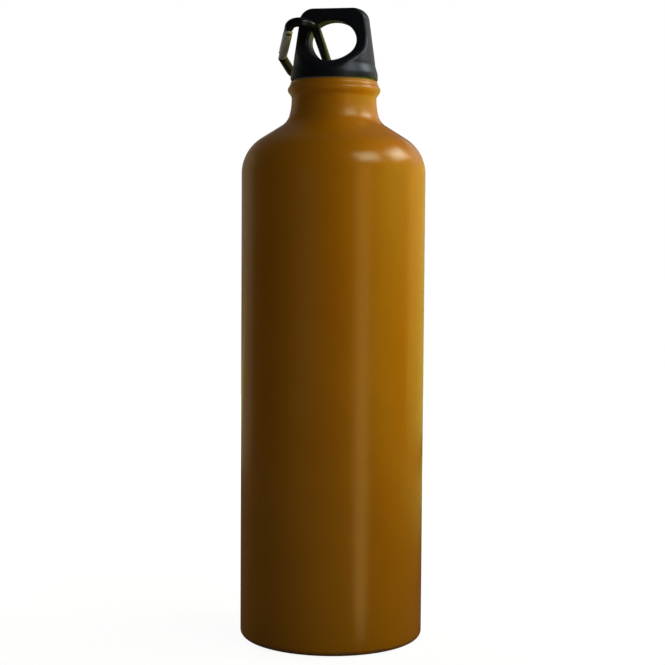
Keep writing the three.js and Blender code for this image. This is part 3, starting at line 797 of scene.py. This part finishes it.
def pin(profile, at):
    """A turned pin across the gate: its axis is the carabiner's normal, at a distance along the gate."""
    own = turned(profile, PIN_COLUMNS)
    own[..., 1] += at
    return on_gate(own)


head = arc(0, RIVET_HALF - HEAD_ROUND, HEAD_ROUND, 88, 40, count=8)
head[:, 0] *= HEAD_RADIUS / head[-1, 0]
shank = [(HEAD_RADIUS, HEAD_LOW), (RIVET_RADIUS, HEAD_UNDER), (RIVET_RADIUS, 0.1)]
rivet_half = np.vstack([head, shank])
rivet_profile = np.vstack([rivet_half * (1, -1), rivet_half[::-1]])
rivet = skin("hinge_rivet", pin(rivet_profile, 0), "capped")

brass, start, shader = surface_finish("aged_brass", Metallic=0.9)
tarnish = start.noise(object_place(start), scale=1500, detail=3.0, rough=0.6)
feed(
    shader,
    Base_Color=tarnish.blend(BRASS_DARK, BRASS_BRIGHT),
    Roughness=tarnish * 0.3 + 0.25,
    Normal=start.bump(tarnish, strength=0.1, distance=0.00006),
)
rivet.data.materials.append(brass)
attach(rivet, "carabiner")
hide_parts("gate_hinge_rivet")

# Latch pin, plunger and spring. Steel pieces in the gate: the cross pin that drops into the hook, and the
# coil that pushes the plunger onto the flat end of the hinge tenon, so that the gate shuts by itself.

LATCH_PIN_RADIUS = 0.55
LATCH_PIN_EDGE = 0.15
PLUNGER_RADIUS = 0.8
PLUNGER_EDGE = 0.2
PLUNGER_SPAN = (1.75, 4.35)
SPRING_RADIUS = 0.7
SPRING_WIRE = 0.15
SPRING_SPAN = (4.75, 12.05)
SPRING_CURLS = 7
CURL_STEPS = 24
WIRE_COLUMNS = 10
STEEL_DARK = (0.42, 0.43, 0.44, 1)
STEEL_BRIGHT = (0.58, 0.59, 0.6, 1)


def rounded_pin(radius, low, high, edge):
    """Profile of a plain pin between two heights, with both rims rounded."""
    return np.vstack([
        arc(radius - edge, low + edge, edge, -80, 0, count=5),
        arc(radius - edge, high - edge, edge, 0, 80, count=5),
    ])


steel, start, shader = surface_finish("bright_steel", Metallic=1.0)
haze = start.noise(object_place(start), scale=1800, detail=3.0, rough=0.6)
feed(
    shader,
    Base_Color=haze.blend(STEEL_DARK, STEEL_BRIGHT),
    Roughness=haze * 0.25 + 0.18,
    Normal=start.bump(haze, strength=0.06, distance=0.00005),
)

latch_profile = rounded_pin(LATCH_PIN_RADIUS, -GATE_RADIUS, GATE_RADIUS, LATCH_PIN_EDGE)
latch_pin = skin("latch_pin", pin(latch_profile, LATCH_PIN_AT), "capped")
latch_pin.data.materials.append(steel)
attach(latch_pin, "gate")
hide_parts("gate_latch_pin")

plunger_profile = rounded_pin(PLUNGER_RADIUS, PLUNGER_SPAN[0], PLUNGER_SPAN[1], PLUNGER_EDGE)
plunger_own = turned(plunger_profile, PIN_COLUMNS)[..., [1, 2, 0]]
plunger = skin("plunger", on_gate(plunger_own), "capped")
plunger.data.materials.append(steel)
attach(plunger, "plunger")
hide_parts("gate_plunger")

curl = np.linspace(0, 2 * np.pi * SPRING_CURLS, CURL_STEPS * SPRING_CURLS + 1)
along = np.linspace(SPRING_SPAN[0], SPRING_SPAN[1], len(curl))
coil_out = np.stack([np.cos(curl), 0 * curl, np.sin(curl)], axis=-1)
coil_path = coil_out * SPRING_RADIUS + np.stack([0 * along, along, 0 * along], axis=-1)
coil_heading = np.gradient(coil_path, axis=0)
coil_side = np.cross(coil_heading / np.linalg.norm(coil_heading, axis=1)[:, None], coil_out)
wire_angle = np.linspace(0, 2 * np.pi, WIRE_COLUMNS, endpoint=False)[None] + 0 * curl[:, None]
wire_wide = SPRING_WIRE * np.cos(wire_angle)
wire_high = SPRING_WIRE * np.sin(wire_angle)
coil_grid = carried(coil_path, coil_out, coil_side, wire_wide, wire_high)
spring = skin("gate_coil", on_gate(coil_grid), "capped")
spring.data.materials.append(steel)
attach(spring, "gate")
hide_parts("gate_spring")
coil_ends = [(0, SPRING_SPAN[0] - SPRING_WIRE, 0), (0, SPRING_SPAN[1] + SPRING_WIRE, 0)]
coil_foot, coil_top = on_gate(np.array(coil_ends))
coil_axis = coil_top - coil_foot
coil_anchor = coil_top * MM
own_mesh(spring)

# Floor and room. A plain pale floor that runs out to a white surround, which the camera sees. Shiny pieces
# mirror a dim room instead, with one soft upright streak and a glow on the floor before the lower back wall.

FLOOR_HALF = 6000
FLOOR_SEEN = (0.2, 0.2, 0.2, 1)
FLOOR_UNSEEN = (0.04, 0.04, 0.04, 1)
WHITE = (1, 1, 1, 1)
STREAK_AZIMUTH = 0.84
STREAK_HALF = (0.03, 0.22)
STREAK_COLOUR = (1, 0.63, 0.25, 1)
STREAK_FOOT = (0.0198, -0.0348, 0)
STREAK_NEAR = (0.04, 0.13)
STREAK_FAR = (0.7, 2.2)
STREAK_TOP = (0.15, 0.35)
WALL_SIDE = (0.588, 0.809, 0)
WALL_GLOW = (0.94, 1.0, 0.2, 1)
GLOW_NEAR = (0.08, 0.2)
SPILL_NEAR = (0.15, 0.5)
SPILL_FAR = (0.42, 0.56)
FRONT_NEAR = (0.0, 0.2)
FRONT_FAR = (0.4, 0.8)
WHITE_NEAR = (0.12, 0.5)
ROOM_BACK = (-0.2, 0.9)


def ray_kind(start, kind):
    """1 for rays of this kind and 0 for others."""
    return start.node("ShaderNodeLightPath", {}, {}, out=kind)


def streak(start, place):
    """A soft upright band: 1 near the streak's azimuth, in radians from -Y towards +X, and 0 away from it."""
    azimuth = start.math("ARCTAN2", axis_of(start, place, "X"), axis_of(start, place, "Y") * -1)
    return 1 - start.math("ABSOLUTE", azimuth - STREAK_AZIMUTH).over(*STREAK_HALF)


floor_corners = np.array([(-1, -1, 0), (1, -1, 0), (1, 1, 0), (-1, 1, 0)]) * FLOOR_HALF
floor = piece("floor", floor_corners, [(0, 1, 2, 3)])
pale, start, shader = surface_finish("pale_floor", Roughness=0.9, Specular_IOR_Level=0.0)
seen = ray_kind(start, "Is Camera Ray")
mirrored = ray_kind(start, "Is Glossy Ray")
through = ray_kind(start, "Is Transmission Ray")
scattered = ray_kind(start, "Is Diffuse Ray")
place = object_place(start)
reach = start.vector("LENGTH", place, (0, 0, 0), out="Value")
front = (axis_of(start, place, "Y") * -1 - reach * 0.25).over(*FRONT_NEAR) * (1 - reach.over(*FRONT_FAR))
band = streak(start, start.vector("SUBTRACT", place, STREAK_FOOT)) * reach.over(*STREAK_NEAR)
band = band * (1 - reach.over(*STREAK_FAR) * 0.45)
toward_wall = start.vector("DOT_PRODUCT", place, WALL_SIDE, out="Value")
spill = toward_wall.over(*SPILL_NEAR) * (1 - toward_wall.over(*SPILL_FAR))
strength = (seen + through) * (reach.over(*WHITE_NEAR) * 0.08 + 0.92)
strength = strength + mirrored * (band * 1.2 + spill * 0.42 + 0.02) + scattered * front * 0.17
tone = (mirrored * band).blend(WHITE, STREAK_COLOUR)
tone = (mirrored * toward_wall.over(*GLOW_NEAR)).blend(tone, WALL_GLOW)
glow = start.node("ShaderNodeEmission", {}, {"Color": tone, "Strength": strength})
feed(shader, Base_Color=seen.blend(FLOOR_UNSEEN, FLOOR_SEEN))
lit = start.node("ShaderNodeAddShader", {}, {0: Wire(start.tree, shader.outputs[0]), 1: glow})
feed(start.tree.nodes["Material Output"], Surface=lit)
floor.data.materials.append(pale)

room = bpy.data.worlds.new("room")
room.use_nodes = True
bpy.context.scene.world = room
start = Wire(room.node_tree)
seen = ray_kind(start, "Is Camera Ray")
mirrored = ray_kind(start, "Is Glossy Ray")
through = ray_kind(start, "Is Transmission Ray")
scattered = (1 - seen) * (1 - through) * (1 - mirrored)
direction = start.node("ShaderNodeTexCoord", {}, {}, out="Generated")
behind = axis_of(start, direction, "Y").over(*ROOM_BACK)
low_streak = streak(start, direction) * (1 - axis_of(start, direction, "Z").over(*STREAK_TOP))
strength = seen + through + mirrored * (behind * 0.055 + low_streak * 0.72 + 0.02)
strength = strength + scattered * (behind * 0.1 + 0.018)
tone = (mirrored * low_streak).blend(WHITE, STREAK_COLOUR)
feed(room.node_tree.nodes["Background"], Color=tone, Strength=strength)

# Light. Two windows high on the right, each with a dimmer surround, and three dim walls behind the bottle,
# which it mirrors. Panels that it doesn't mirror fill in: two on the right, one in front, one behind left.

DAYLIGHT = (0.95, 0.975, 1.0)
WARM_WALL = WALL_GLOW[:3]
PALE_WALL = (0.94, 0.97, 0.88)
DIM_WALL = (1.0, 0.82, 0.55)
WARM_PANEL = (1.0, 0.93, 0.12)


def window(name, azimuth, distance, height, aim, size, watts, colour=DAYLIGHT, spread=180, mirrored=False):
    """A rectangular light that faces a height on the bottle's axis: azimuth in degrees from -Y towards +X."""
    lamp = bpy.data.lights.new(name, "AREA")
    lamp.shape = "RECTANGLE"
    lamp.size, lamp.size_y = size
    lamp.energy = watts
    lamp.spread = np.radians(spread)
    lamp.color = colour
    made = bpy.data.objects.new(name, lamp)
    bpy.context.scene.collection.objects.link(made)
    turn = np.radians(azimuth)
    made.location = (distance * np.sin(turn), -distance * np.cos(turn), height)
    direction = made.location.copy()
    direction.z -= aim
    made.rotation_euler = direction.to_track_quat("Z", "Y").to_euler()
    made.visible_camera = False
    made.visible_glossy = mirrored


front_place = {"azimuth": 60, "distance": 0.9, "height": 0.88, "aim": 0.2}
side_place = {"azimuth": 112, "distance": 0.6, "height": 0.59, "aim": 0.2}
window("front_window", **front_place, size=(0.3, 0.24), watts=0.82, mirrored=True)
window("front_surround", **front_place, size=(0.56, 0.44), watts=1.6, mirrored=True)
window("side_window", **side_place, size=(0.22, 0.12), watts=0.42, mirrored=True)
window("side_surround", **side_place, size=(0.4, 0.24), watts=0.77, mirrored=True)
window("low_wall", azimuth=144, distance=0.5, height=0.16, aim=0.16,
       size=(0.56, 0.28), watts=0.26, colour=WARM_WALL, mirrored=True)
window("high_wall", azimuth=150, distance=0.5, height=0.385, aim=0.385,
       size=(0.45, 0.17), watts=0.1, colour=PALE_WALL, mirrored=True)
window("left_wall", azimuth=-135, distance=0.5, height=0.2, aim=0.2,
       size=(0.56, 0.4), watts=0.088, colour=DIM_WALL, mirrored=True)
window("right_low_panel", azimuth=60, distance=0.4, height=0.145, aim=0.145,
       size=(0.4, 0.2), watts=0.079, colour=WARM_PANEL, spread=90)
window("right_high_panel", azimuth=98, distance=0.4, height=0.26, aim=0.26,
       size=(0.4, 0.2), watts=0.345, colour=WARM_PANEL, spread=77)
window("left_panel", azimuth=-20, distance=0.6, height=0.18, aim=0.18,
       size=(0.3, 0.3), watts=0.22)
window("left_back_panel", azimuth=-140, distance=0.9, height=0.3, aim=0.2,
       size=(0.9, 0.6), watts=4.6)

# Camera. It stands a little to the right of the loop's front, below the shoulder, and looks slightly down.
# Its place and its lens give the outline that the photograph shows, in a square frame.

CAMERA_AZIMUTH = np.radians(11)
CAMERA_DISTANCE = 0.66746
CAMERA_HEIGHT = 0.17569
CAMERA_PITCH = np.radians(3.59)
CAMERA_ROLL = np.radians(0.378)
SENSOR_WIDTH = 36
FOCAL_LENGTH = 82.48
NEAR_LIMIT = 0.01

lens = bpy.data.cameras.new("camera")
lens.sensor_width = SENSOR_WIDTH
lens.lens = FOCAL_LENGTH
lens.clip_start = NEAR_LIMIT
camera = bpy.data.objects.new("camera", lens)
bpy.context.scene.collection.objects.link(camera)
camera.location = (
    CAMERA_DISTANCE * np.sin(CAMERA_AZIMUTH),
    -CAMERA_DISTANCE * np.cos(CAMERA_AZIMUTH),
    CAMERA_HEIGHT,
)
heading = Matrix.Rotation(CAMERA_AZIMUTH, 3, "Z")
looking = Matrix.Rotation(np.pi / 2 - CAMERA_PITCH, 3, "X")
rolled = Matrix.Rotation(CAMERA_ROLL, 3, "Z")
camera.rotation_euler = (heading @ looking @ rolled).to_euler()
bpy.context.scene.camera = camera
bpy.context.scene.view_settings.view_transform = "Standard"
